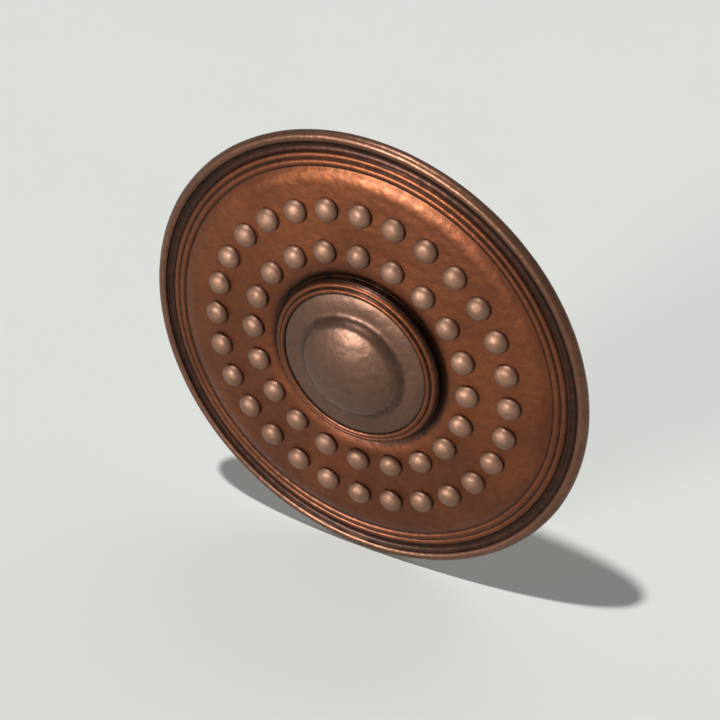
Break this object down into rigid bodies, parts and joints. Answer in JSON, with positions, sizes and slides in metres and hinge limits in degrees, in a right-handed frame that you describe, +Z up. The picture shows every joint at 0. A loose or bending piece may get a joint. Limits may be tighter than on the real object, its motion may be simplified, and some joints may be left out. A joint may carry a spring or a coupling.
{
  "type": "round shield",
  "caption": "Round bronze-faced shield with a domed boss, studded rings, a rolled rim and, behind, a hand grip and strap rings.",
  "frame": {"origin": "on the shield's axis, at the middle of the hand grip", "axes": "-Y is the way the front faces, +Z is up, +X is to the right of someone facing the front"},
  "size_m": [0.6, 0.0677, 0.5998],
  "materials": {
    "plate_bronze": "hammered and burnished, satin",
    "boss_bronze": "hammered, satin",
    "rim_bronze": "satin",
    "stud_bronze": "satin",
    "fitting_bronze": "satin",
    "board_wood": "planed",
    "grip_wood": "oiled",
    "lining_leather": "matt",
    "sleeve_leather": "worn smooth"
  },
  "bodies": {
    "shield": {"face_plate": "plate_bronze", "boss_shell": "boss_bronze", "boss_seat_ring": "board_wood", "rim_binding": "rim_bronze", "rim_wire": "fitting_bronze", "back_lining": "lining_leather", "core_board_left_outer": "board_wood", "core_board_left_inner": "board_wood", "core_board_top": "board_wood", "core_board_bottom": "board_wood", "core_board_right_inner": "board_wood", "core_board_right_outer": "board_wood", "board_dowels": "board_wood", "outer_studs": "stud_bronze", "inner_studs": "stud_bronze", "outer_roves": "fitting_bronze", "inner_roves": "fitting_bronze", "grip_bar": "grip_wood", "grip_spine": "fitting_bronze", "grip_sleeve": "sleeve_leather", "grip_rivets": "fitting_bronze", "ring_loop_left": "fitting_bronze", "loop_nails_left": "fitting_bronze", "ring_loop_right": "fitting_bronze", "loop_nails_right": "fitting_bronze"},
    "strap_ring_left": {"strap_ring_left": "fitting_bronze"},
    "strap_ring_right": {"strap_ring_right": "fitting_bronze"}
  },
  "joints": [
    {"name": "ring_left_swing", "type": "hinge", "parent": "shield", "child": "strap_ring_left", "pos_m": [-0.19145, 0.00669, 0.15456], "axis": [0.9896, -0.1435, 0], "range_deg": [-6, 160]},
    {"name": "ring_right_swing", "type": "hinge", "parent": "shield", "child": "strap_ring_right", "pos_m": [0.19145, 0.00669, 0.15456], "axis": [0.9896, 0.1435, 0], "range_deg": [-6, 160]}
  ]
}
